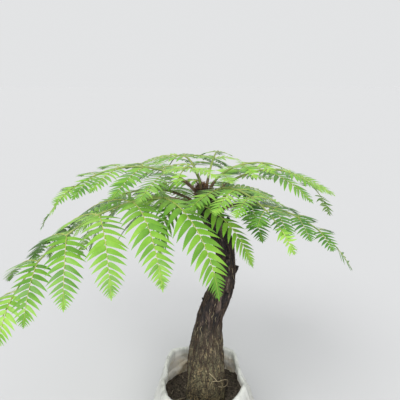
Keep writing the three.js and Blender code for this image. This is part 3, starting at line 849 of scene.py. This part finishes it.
def leaflet(centres, across, flip, halves, notch, droop, fold, roll=0.0):
    """A toothed leaflet along centre points, broad in the direction across and turned
    about its middle by roll. Its edges hang and its middle sinks by shares of the breadth."""
    count = len(centres) - 1
    forward = unit(np.gradient(centres, axis=0))
    side = unit(across - forward * (forward @ across)[:, None])
    over = np.cross(side, forward) * flip
    cosine, sine = math.cos(roll), math.sin(roll)
    side, over = side * cosine + over * sine, over * cosine - side * sine
    middle = centres - over * (halves * fold)[:, None]
    vertices = [middle]
    faces = []
    rows = np.arange(count)
    for sign in (-1, 1):
        cut = halves * notch
        notches = centres + sign * side * cut[:, None] - over * (droop * cut)[:, None]
        point = (1 - TOOTH.along) * centres[:-1] + TOOTH.along * centres[1:]
        half = (1 - TOOTH.breadth) * halves[:-1] + TOOTH.breadth * halves[1:]
        hang = droop * half * TOOTH.droop
        teeth = point + sign * side[:-1] * half[:, None] - over[:-1] * hang[:, None]
        at_notch = sum(len(v) for v in vertices)
        at_tooth = at_notch + len(notches)
        vertices += [notches, teeth]
        corners = [
            (rows, rows + 1, at_tooth + rows),
            (rows, at_tooth + rows, at_notch + rows),
            (rows + 1, at_notch + rows + 1, at_tooth + rows),
        ]
        for a, b, c in corners:
            faces.append(np.stack([a, b, c] if sign * flip < 0 else [a, c, b], 1))
    return np.concatenate(vertices), np.concatenate(faces)


def add_leaflet(blade, tints, s, side, draw):
    """One leaflet near a share of a blade, scattered by its draw number."""
    shift = scattered(LEAF_SCATTER, draw)
    stagger = LEAF.stagger * LEAF.pitch * float(pinnule_length(blade, s)) * side
    first, last = LEAF.within
    near = min(max(s + (stagger + shift.place) / blade.length, first), last)
    size = float(pinnule_length(blade, near)) * (LEAF.size + shift.size)
    fewest, most = LEAF.teeth
    teeth = int(min(most, max(fewest, round(size / LEAF.tooth))))
    t = np.arange(teeth + 1) / teeth
    centres = pinnule_points(blade, np.full(teeth + 1, near), side, size * t)
    _, azimuth, elevation = along(blade.path, near)
    costa = heading(azimuth, elevation)[0]
    pitching = LEAF.end_pitching if blade.end else LEAF.pitching
    pitch = shift.pitching * pitching - LEAF.sinking
    centres = centres + (size * (t * shift.yaw + t * t * LEAF.sweep))[:, None] * costa
    centres = centres + (size * t * t * pitch)[:, None] * UP
    swelling = np.minimum(1, LEAF_OUTLINE.root + LEAF_OUTLINE.swell * t)
    outline = swelling * (1 - t ** LEAF_OUTLINE.narrowing) ** LEAF_OUTLINE.point
    halves = LEAF.breadth * size * outline * (1 + shift.breadth)
    tint = tints[0 if shift.tint < LEAF.own_tint else 1]
    shape = leaflet(centres, costa, side, halves, LEAF.notch, LEAF.droop, LEAF.fold, shift.roll)
    tint.append(shape)


def blade_leaves(blade, tints, number):
    """All the leaflets of one blade, dealt between its two tints, and the web that joins
    them at its tip."""
    length = blade.length
    s = (LEAF.end_stalk if blade.end else LEAF.stalk) / length
    k = 0
    while s < LEAF.to:
        for side in (-1, 1):
            add_leaflet(blade, tints, s, side, number * DRAWS.blade + k * 2 + side)
        s += max(LEAF.least_pitch, LEAF.pitch * float(pinnule_length(blade, s))) / length
        k += 1
    rise = np.arange(TIP_WEB.lobes + 1) / TIP_WEB.lobes
    shares = TIP_WEB.start + (1 - TIP_WEB.start) * rise
    centres, azimuth, _ = along(blade.path, shares)
    halves = (TIP_WEB.first + TIP_WEB.rise * rise) * pinnule_length(blade, np.minimum(shares, 0.9999))
    across = left_of(azimuth[-1:])[0]
    tints[0].append(leaflet(centres, across, -1, halves, TIP_WEB.notch, TIP_WEB.droop, TIP_WEB.fold))


def costa_tube(blade, joined):
    shares = np.linspace(0, COSTA.to, COSTA.rings)
    places = along(blade.path, shares)[0]
    size = COSTA.radius + COSTA.per_mm * blade.length
    joined.append(tube(places, size * (1 - COSTA.taper * shares), COSTA.sides))


def stem_tube(frond, joined, first, last, rings, grow):
    shares = np.linspace(first, last, rings)
    places = along(frond.path, shares)[0]
    taper = np.maximum(0, 1 - shares / TIP) ** RACHIS.taper
    radii = RACHIS.tip + (RACHIS.root - RACHIS.tip) * taper
    joined.append(tube(places, STEM.radius * radii * grow, STEM.sides))


def frond_nodes(names):
    """The frame's nodes of the fronds with these names, whole or split at the bend."""
    parts = {f"frond_{name}{part}" for name in names for part in ("", "_base", "_tip")}
    return [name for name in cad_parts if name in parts]


def blade_tints(frond, blade, number):
    """Names of the two tints of a blade's leaves."""
    if frond.name in DARK_FRONDS:
        return DARK_TINTS
    if blade.share > TINTS.pale_from or frond.name.startswith("young"):
        return "pale", "fresh"
    if wobble(number, TINTS.draw, 1) > TINTS.mid_below:
        return "fresh", "mid"
    return "mid", "fresh"


def make_fronds(fronds):
    light_nodes = frond_nodes([frond.name for frond in fronds if frond.name not in DARK_FRONDS])
    dark_nodes = frond_nodes(DARK_FRONDS)
    leaves = {tint: [] for tint in LEAF_COLOURS}
    stipes, rachises, costae = [], [], []
    number = 0
    for frond in fronds:
        stem_tube(frond, stipes, *STIPE_TUBE)
        stem_tube(frond, rachises, *RACHIS_TUBE)
        for blade in frond.blades:
            number += 1
            tints = blade_tints(frond, blade, number)
            blade_leaves(blade, [leaves[tint] for tint in tints], number)
            costa_tube(blade, costae)
    add_joined("stipes", stipes, "stipe")
    add_joined("rachises", rachises, "rachis", light_nodes + dark_nodes)
    add_joined("costae", costae, "costa")
    for tint, joined in leaves.items():
        slot, nodes = ("frond_dark", dark_nodes) if tint in DARK_TINTS else ("frond", light_nodes)
        add_joined(f"leaves_{tint}", joined, tint, nodes)


# Trunk

def trunk_surface(angle, z, lift):
    """Points of the trunk at angles and heights, lifted off its smooth surface."""
    rows = np.array([rows_at(TRUNK_ROWS, height) for height in z])
    ribs = (share * np.cos(count * angle + turn * z + start) for count, share, turn, start in TRUNK_RIBS)
    r = rows[:, 2] * (1 + sum(ribs)) + lift
    return np.stack([rows[:, 0] + r * np.cos(angle), rows[:, 1] + r * np.sin(angle), z], 1)


def bark_relief(angle, z):
    """Strands of the root mantle, wandering as they go down, over broader lumps."""
    turned = angle + BARK.turn * z + waves(BARK_WAVES, z, angle)
    places = ring_points(turned, BARK.radius, z)
    gullies = BARK.gully * np.maximum(relief(places, BARK_GULLIES) - BARK.gully_from, 0)
    return relief(places, BARK_LAYERS) - gullies - BARK.sunk


def make_trunk():
    rings, sides = TRUNK_MESH.rings, TRUNK_MESH.sides
    low, high = TRUNK_ROWS[0][0], TRUNK_ROWS[-1][0]
    z = np.repeat(np.linspace(low, high, rings), sides)
    angle = np.tile(round_angles(sides), rings)
    fade = ramped(z, high, high - TRUNK_MESH.smooth_top)
    vertices = trunk_surface(angle, z, bark_relief(angle, z) * fade)
    faces = grid_faces(rings, sides)
    foot, head = len(vertices), len(vertices) + 1
    vertices = np.concatenate([vertices, [vertices[:sides].mean(0)], [vertices[-sides:].mean(0) + UP]])
    i = np.arange(sides)
    j = (i + 1) % sides
    last = (rings - 1) * sides
    caps = [np.stack([j, i, i * 0 + foot], 1), np.stack([last + i, last + j, i * 0 + head], 1)]
    add_piece("trunk_bark", vertices, [faces, *caps], "bark", ["trunk"])


def make_stubs():
    """Bases of old stipes, each with a ragged broken end."""
    joined = []
    s = np.linspace(0, 1, STUB_MESH.rings)
    for k in range(STUBS.count):
        share = k / (STUBS.count - 1)
        z = STUBS.low + (STUBS.high - STUBS.low) * share ** STUBS.crowding
        x, y, radius = rows_at(TRUNK_ROWS, z)
        azimuth = STUBS.azimuth + STUBS.turn * k + wobble(k, DRAWS.stub_turn, STUBS.scatter)
        size = 1 + wobble(k, DRAWS.stub_size, STUB.scatter)
        age = STUB.shoulder if k == 1 else STUB.low + (1 - STUB.low) * share
        length = age * STUB.length * size
        root = np.array([x, y, z - STUB_ROOT.below]) + STUB_ROOT.depth * radius * heading(azimuth, 0)
        places = root + heading(azimuth, STUB_ROOT.lift - STUB_ROOT.curl * (1 - s)) * (length * s)[:, None]
        radii = STUB.radius * size * (STUB_ROOT.swell - STUB.taper * s)
        vertices, faces = tube(places, radii, STUB_MESH.sides)
        rough = relief(vertices, [(*STUB_RIDGES, DRAWS.stub_bark + k), STUB_GRAIN])
        axis = heading(azimuth, STUB_ROOT.lift)
        ragged = ramped((vertices - root) @ axis / length, *STUB_RAGGED)
        middle = np.repeat(np.concatenate([places[:1], places, places[-1:]]), STUB_MESH.sides, axis=0)
        vertices = vertices + unit(vertices - middle) * rough[:, None]
        vertices += axis * (ragged * relief(vertices, STUB_ENDS))[:, None]
        joined.append((vertices, faces))
    add_joined("stipe_stubs", joined, "bark")


def strand(angle, top, length, radius, number, lift):
    """One root that runs down the trunk and wanders a little."""
    s = np.linspace(0, 1, max(STRAND.least, int(length / STRAND.step)))
    z = top - length * s
    drift = waves(STRAND_WAVES, z, number)
    turned = angle + STRAND.turn * (top - z) + drift - drift[0]
    off = lift + waves(STRAND_SWELLS, z, number) + bark_relief(turned, z) * STRAND.on_bark
    off = off - STRAND.tuck * (2 * s - 1) ** 6
    return tube(trunk_surface(turned, z, off), radius * (1 - STRAND.taper * s), STRAND.sides)


def make_roots():
    dark_roots, pale_roots = [], []
    rng = np.random.default_rng(SEEDS.roots)
    for number in range(ROOTS.count):
        length = rng.uniform(*ROOTS.lengths)
        top = rng.uniform(ROOTS.low + ROOTS.room * length, ROOTS.high)
        length = min(length, top - ROOTS.foot)
        angle = rng.uniform(0, 2 * np.pi)
        radius = rng.uniform(*ROOTS.radii)
        dark_roots.append(strand(angle, top, length, radius, number, ROOTS.lift))
        if number % PALE_ROOTS.every == 0 and top < PALE_ROOTS.below:
            short = PALE_ROOTS.length * length
            turned = angle + PALE_ROOTS.turn
            pale_roots.append(strand(turned, top, short, PALE_ROOTS.radius, number, PALE_ROOTS.lift))
    s = np.linspace(0, 1, FIBRE.rings)
    for azimuth, top, end_azimuth, foot in FRONT_FIBRES:
        sway = FIBRE.sway * np.sin(FIBRE.swaying * s + azimuth)
        turned = (azimuth + (end_azimuth - azimuth) * s + sway) * RAD
        z = top + (foot - top) * s
        lift = bark_relief(turned, z) + FIBRE.lift - FIBRE.tuck * (2 * s - 1) ** 4
        radii = FIBRE.radius * (1 - FIBRE.taper * s)
        pale_roots.append(tube(trunk_surface(turned, z, lift), radii, FIBRE.sides))
    add_joined("root_strands", dark_roots, "root")
    add_joined("pale_fibres", pale_roots, "fibre")


def make_root_loop():
    joined = []
    kernel = np.ones(LOOP.rounding) / LOOP.rounding
    for route, radius in ((ROOT_LOOP, LOOP.radius), (ROOT_BRANCH, LOOP.branch_radius)):
        rows = np.array(route, float)
        t = np.linspace(0, len(rows) - 1, LOOP.rings)
        smooth = []
        for c in range(3):
            values = np.interp(t, np.arange(len(rows)), rows[:, c])
            smooth.append(np.convolve(np.pad(values, LOOP.rounding // 2, "edge"), kernel, "valid"))
        places = trunk_surface(smooth[0] * RAD, smooth[1], smooth[2])
        taper = 1 - LOOP.taper * np.linspace(0, 1, LOOP.rings)
        joined.append(tube(places, radius * taper, LOOP.sides))
    add_joined("root_loop", joined, "fibre")


def hairs(joined, rng, roots, directions, lengths, width):
    """Thin scales: each a narrow kite of two triangles."""
    for root, direction, length in zip(roots, directions, lengths):
        side = unit(np.cross(direction, rng.normal(size=3))) * width
        end = root + direction * length - UP * (HAIR.sag * length)
        middle = root + HAIR.middle * direction * length + side * HAIR.middle_width
        joined.append((np.array([root - side, root + side, middle, end]), np.array([[0, 1, 2], [0, 2, 3]])))


def surface_hairs(joined, rng, values):
    """Hairs that stand out of the trunk between two heights."""
    count = values.count
    start, end = values.heights
    angle = rng.uniform(0, 2 * np.pi, count)
    z = start + (end - start) * rng.uniform(0, 1, count) ** values.gathering
    roots = trunk_surface(angle, z, 0)
    outward = ring_points(angle, 1, rng.uniform(*values.rise, count))
    directions = unit(outward + rng.normal(size=(count, 3)) * values.ruffle)
    hairs(joined, rng, roots, directions, rng.uniform(*values.lengths, count), values.width)


def make_scales(fronds):
    """Brown scales on the crown and on the bases of the stipes."""
    rng = np.random.default_rng(SEEDS.scales)
    joined = []
    for frond in fronds:
        count = int(STIPE_SCALES.least + STIPE_SCALES.per_metre * frond.length / 1000)
        shares = rng.uniform(0.0, STIPE_SCALES.to, count) ** STIPE_SCALES.gathering
        places, azimuth, elevation = along(frond.path, shares)
        forward = heading(azimuth, elevation)
        outward = unit(np.cross(forward, rng.normal(size=(count, 3))))
        roots = places + outward * STIPE_SCALES.off
        directions = unit(outward + STIPE_SCALES.forward * forward)
        lengths = rng.uniform(*STIPE_SCALES.lengths, count)
        hairs(joined, rng, roots, directions, lengths, STIPE_SCALES.width)
    surface_hairs(joined, rng, HEART_SCALES)
    add_joined("crown_scales", joined, "scale")


def make_rootlets():
    joined = []
    surface_hairs(joined, np.random.default_rng(SEEDS.rootlets), ROOTLETS)
    add_joined("trunk_rootlets", joined, "root")


# Sack

def lobed(lobes, angle):
    return sum(share * np.cos(count * angle + start) for count, share, start in lobes)


def sack_ring(angle, radius, z):
    slump = ramped(z, *SLUMP_GROWTH)
    squaring = ramped(z, *HEM_GROWTH)
    rise = ramped(z, *HEM_SWAY.heights)
    sway = HEM_SWAY.size * np.cos(2 * angle + HEM_SWAY.start) * rise
    r = radius * (1 + slump * lobed(SACK_LOBES, angle) + squaring * lobed(HEM_LOBES, angle))
    return np.stack([r * np.cos(angle), r * np.sin(angle), z + sway], 1)


def evenly(points, count):
    """Points evenly spaced along a line through points, and their distances along it."""
    spans = np.concatenate([[0], np.cumsum(np.linalg.norm(np.diff(points, axis=0), axis=1))])
    even = np.linspace(0, spans[-1], count)
    return np.stack([np.interp(even, spans, points[:, c]) for c in (0, 1)], 1), even


def smooth_profile(rows, count):
    """A rounded curve through a profile's points, evenly spaced along it."""
    curve, _ = evenly(np.array(rows, float), count * SACK_MESH.fineness)
    kernel = np.hanning(SACK_MESH.rounding)
    kernel /= kernel.sum()
    half = len(kernel) // 2
    padded = np.pad(curve, ((half, half), (0, 0)), "edge")
    curve = np.stack([np.convolve(padded[:, c], kernel, "valid") for c in (0, 1)], 1)
    return evenly(curve, count)


def facets(angle, z):
    """Share by which the cloth falls short of round between its folds, sharper at the hem."""
    corners = np.array(SACK_FOLDS.corners) * RAD
    phases = SACK_FOLDS.phase * np.arange(len(corners))
    starts = corners[None, :] + SACK_FOLDS.drift * np.sin(z[:, None] / SACK_FOLDS.wave + phases)
    ahead = np.mod(angle[:, None] - starts, 2 * np.pi)
    first = np.argmin(ahead, axis=1)
    rows = np.arange(len(angle))
    since = ahead[rows, first]
    after = (first + 1) % len(corners)
    width = since + np.mod(starts[rows, after] - angle, 2 * np.pi)
    chord = np.cos(width / 2) / np.cos(since - width / 2)
    body = SACK_FOLDS.body
    sharpness = body + (1 - body) * ramped(z, *SACK_FOLDS.hem)
    return sharpness * (1 - chord)


def sack_creases(angle, z):
    """How far the cloth stands off its folds: upright creases, slump below and dents."""
    ring = ring_points(angle, SACK_RADIUS, z)
    bent = ring + relief(ring, CREASE_BEND)[:, None]
    low = ramped(z, *CREASES.slump)
    calm = 1 - CREASES.hem_calm * ramped(z, *CREASES.hem)
    upright = relief(bent, UPRIGHT_CREASES) * (1 - CREASES.low_calm * low)
    small = relief(bent, SMALL_CREASES) + relief(ring, FINE_CREASES)
    depth = calm * (upright + small) + relief(bent, SLUMP_CREASES) * low - CREASES.sunk
    return ramped(z, *CREASES.ground) * depth


def make_sack():
    sides, rows = SACK_MESH.sides, SACK_MESH.rows
    profile, cloth = smooth_profile(SACK_FOOT + SACK_OUTER + SACK_ROLL + SACK_INNER, rows)
    angle = round_angles(sides)
    rim = ring_points(angle, ROLL_WAVER.radius, 0 * angle + ROLL_WAVER.level)
    waver = ROLL_WAVER.height * noise(rim, ROLL_WAVER.size, ROLL_WAVER.draw)
    places = []
    for radius, z in profile:
        lift = waver * ramped(z, *ROLL_WAVER.heights)
        short = facets(angle, np.full(sides, z))
        ring = sack_ring(angle, max(radius, 1) * (1 - short), z + 0 * angle)
        places.append(ring + lift[:, None] * UP)
    places = np.array(places)
    outward = unit(np.cross(np.roll(places, -1, 1) - np.roll(places, 1, 1), UP))
    flat = places.reshape(-1, 3)
    creases = sack_creases(np.tile(angle, rows), flat[:, 2])
    vertices = flat + outward.reshape(-1, 3) * creases[:, None]
    vertices[:, 2] = np.maximum(vertices[:, 2], 0)
    uvs = np.stack([np.tile(angle * SACK_RADIUS * MM, rows), np.repeat(cloth * MM, sides)], 1)
    add_piece("sack_cloth", vertices, [grid_faces(rows, sides)], "sack", ["sack"], uvs)


# Soil

def soil_height(x, y):
    humps = sum(height * np.sin(a * x + b * y + start) for height, a, b, start in SOIL_HUMPS)
    return SOIL.level + SOIL.slope_x * x + SOIL.slope_y * y + humps


def soil_top(x, y):
    """Height of the soil with its relief."""
    return soil_height(x, y) + relief(np.stack([x, y, 0 * x], 1), SOIL_LAYERS)


def soil_reach(angle):
    """Radius at which the soil meets the inside of the sack."""
    z = soil_height(SACK_RADIUS * np.cos(angle), SACK_RADIUS * np.sin(angle))
    radii, heights = zip(*SACK_INNER[::-1])
    inside = np.interp(z, heights, radii) + SOIL.overlap
    ring = sack_ring(angle, inside * (1 - facets(angle, z)), z)
    return np.linalg.norm(ring[:, :2], axis=1) + sack_creases(angle, z)


def soil_spot(rng, angle, values):
    """A random spot on the soil at an angle, as x and y."""
    r = soil_reach(np.array([angle]))[0] * values.reach * math.sqrt(rng.uniform(values.inner, 1))
    return r * math.cos(angle), r * math.sin(angle)


def make_soil():
    sides, rows = SOIL_MESH.sides, SOIL_MESH.rows
    angle = round_angles(sides)
    reach = soil_reach(angle)
    rings = [ring_points(angle, reach * SOIL_MESH.skirt, 0 * angle + SOIL_MESH.skirt_height)]
    for share in np.linspace(1, SOIL_MESH.middle, rows):
        x, y = reach * share * np.cos(angle), reach * share * np.sin(angle)
        rings.append(np.stack([x, y, soil_top(x, y)], 1))
    faces = grid_faces(rows + 1, sides)
    add_piece("soil_surface", np.concatenate(rings), [faces], "soil", ["soil"])


def icosahedron():
    g = (1 + math.sqrt(5)) / 2
    corners = np.array([
        (-1, g, 0), (1, g, 0), (-1, -g, 0), (1, -g, 0), (0, -1, g), (0, 1, g),
        (0, -1, -g), (0, 1, -g), (g, 0, -1), (g, 0, 1), (-g, 0, -1), (-g, 0, 1),
    ])
    faces = np.array([
        (0, 11, 5), (0, 5, 1), (0, 1, 7), (0, 7, 10), (0, 10, 11), (1, 5, 9), (5, 11, 4),
        (11, 10, 2), (10, 7, 6), (7, 1, 8), (3, 9, 4), (3, 4, 2), (3, 2, 6), (3, 6, 8),
        (3, 8, 9), (4, 9, 5), (2, 4, 11), (6, 2, 10), (8, 6, 7), (9, 8, 1),
    ])
    return unit(corners), faces


def make_crumbs(rng):
    crumbs = []
    ball, faces = icosahedron()
    for angle in rng.uniform(0, 2 * np.pi, CRUMBS.count):
        x, y = soil_spot(rng, angle, CRUMBS)
        size = CRUMBS.least + CRUMBS.more * rng.uniform(0, 1) ** CRUMBS.rarity
        z = soil_top(np.array([x]), np.array([y]))[0] + CRUMBS.lift * size
        stretched = ball * size * rng.uniform(*CRUMBS.stretch, 3)
        lumpy = stretched * rng.uniform(*CRUMBS.lumps, (len(ball), 1))
        crumbs.append((lumpy + [x, y, z], faces))
    add_joined("soil_crumbs", crumbs, "crumbs")


def make_litter(rng):
    """A thin dead stick and short straws that lie on the soil."""
    litter = []
    stick = np.array([(x, y, soil_height(x, y) + STICK_LIFT) for x, y in STICK])
    litter.append(tube(stick, STICK_RADII, STICK_SIDES))
    for angle in rng.uniform(0, 2 * np.pi, LITTER.count):
        spot = np.array([*soil_spot(rng, angle, LITTER), 0])
        turn = rng.uniform(0, 360)
        out = np.linspace(-0.5, 0.5, LITTER.rings) * rng.uniform(*LITTER.lengths)
        path = spot + np.outer(out, heading(turn, 0))
        path[:, 2] = soil_top(path[:, 0], path[:, 1]) + LITTER.lift
        litter.append(tube(path, rng.uniform(*LITTER.radii), LITTER.sides))
    add_joined("soil_litter", litter, "litter")


# Camera and stage

def make_camera():
    """Where the photograph was taken from: its view is square and 53 degrees wide."""
    camera = bpy.data.cameras.new("camera")
    camera.lens = CAMERA.lens
    camera.sensor_width = CAMERA.sensor
    viewer = add_object("camera", camera)
    viewer.location = CAMERA.place
    viewer.rotation_euler = ((90 - CAMERA.pitch) * RAD, 0, 0)
    bpy.context.scene.camera = viewer


def make_stage():
    """A plain pale floor under an even sky, with soft lamps from the front left and the front."""
    floor = bpy.data.meshes.new("floor")
    corners = [(FLOOR.reach * x, FLOOR.reach * y, 0) for x, y in ((-1, -1), (1, -1), (1, 1), (-1, 1))]
    floor.from_pydata(corners, [], [(0, 1, 2, 3)])
    material, _, _ = new_material("floor", Roughness=FLOOR.roughness, Base_Color=(*FLOOR.colour, 1))
    floor.materials.append(material)
    add_object("floor", floor)
    for name, values in LAMPS.items():
        light = bpy.data.lights.new(name, "SUN")
        light.energy = values.strength
        light.angle = values.breadth * RAD
        light.color = LAMP_COLOUR
        lamp = add_object(name, light)
        lamp.rotation_euler = (values.tilt * RAD, 0, values.turn * RAD)
    world = bpy.data.worlds.new("studio")
    world.use_nodes = True
    background = world.node_tree.nodes["Background"]
    background.inputs["Color"].default_value = (*SKY.colour, 1)
    background.inputs["Strength"].default_value = SKY.strength
    bpy.context.scene.world = world
    bpy.context.scene.view_settings.view_transform = "Standard"


materials = make_materials()
make_camera()
make_stage()
grown = grow_crown()
make_fronds(grown)
make_trunk()
make_stubs()
make_roots()
make_root_loop()
make_scales(grown)
make_rootlets()
make_sack()
make_soil()
soil_rng = np.random.default_rng(SEEDS.soil)
make_crumbs(soil_rng)
make_litter(soil_rng)
